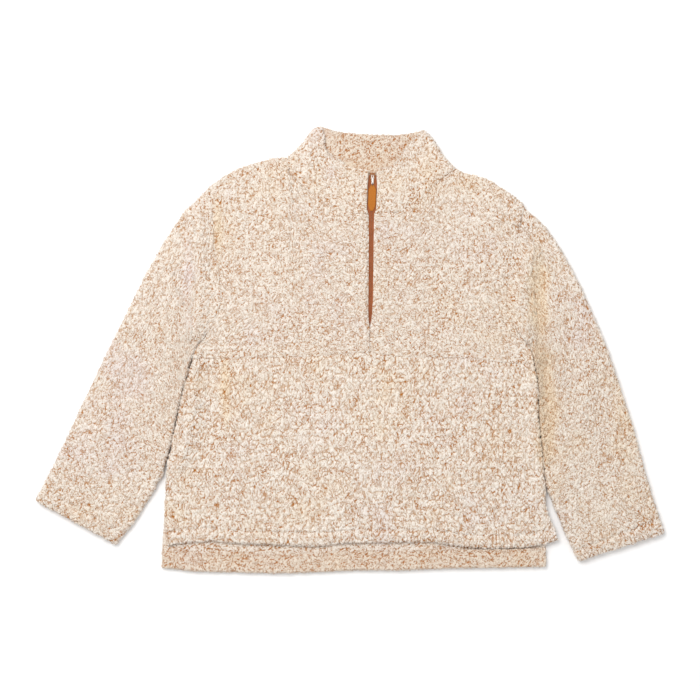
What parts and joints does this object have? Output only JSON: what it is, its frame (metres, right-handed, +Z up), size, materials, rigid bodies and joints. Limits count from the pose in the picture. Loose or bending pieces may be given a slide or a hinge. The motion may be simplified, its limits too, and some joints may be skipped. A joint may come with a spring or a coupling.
{
  "type": "sherpa fleece quarter-zip pullover",
  "caption": "Long-sleeved sherpa fleece pullover with a stand collar and a quarter zip with a leather pull, laid flat, front up, its longer back hem showing.",
  "frame": {"origin": "The middle of the laid-out pullover's outline, on the surface it lies on.", "axes": "+Z up, out of the front; +Y towards the collar; +X towards the sleeve on the right of a viewer who looks at the front, which is the wearer's left."},
  "size_m": [1.035, 0.7357, 0.0222],
  "materials": {
    "fleece": "curled sherpa pile, cream tips over a rust ground",
    "zip_tape": "rust woven tape and nylon coil",
    "metal": "polished nickel",
    "leather": "golden tan, smooth, cut edges"
  },
  "bodies": {
    "garment": {"back": "fleece", "back_hem": "fleece", "lower_front": "fleece", "upper_front_left": "fleece", "upper_front_right": "fleece", "sleeve_left": "fleece", "sleeve_right": "fleece", "collar": "fleece", "zip_tape_left": "zip_tape", "zip_tape_right": "zip_tape", "zip_slider": "metal"},
    "pull": {"pull_link": "metal", "pull_ring": "metal"},
    "tab": {"pull_tab": "leather"}
  },
  "joints": [
    {"name": "pull_lift", "type": "hinge", "parent": "garment", "child": "pull", "pos_m": [0.037, 0.287, 0.01175], "axis": [-1, 0, 0], "range_deg": [0, 150]},
    {"name": "tab_swing", "type": "hinge", "parent": "pull", "child": "tab", "pos_m": [0.037, 0.272, 0.0127], "axis": [-1, 0, 0], "range_deg": [0, 45]}
  ]
}
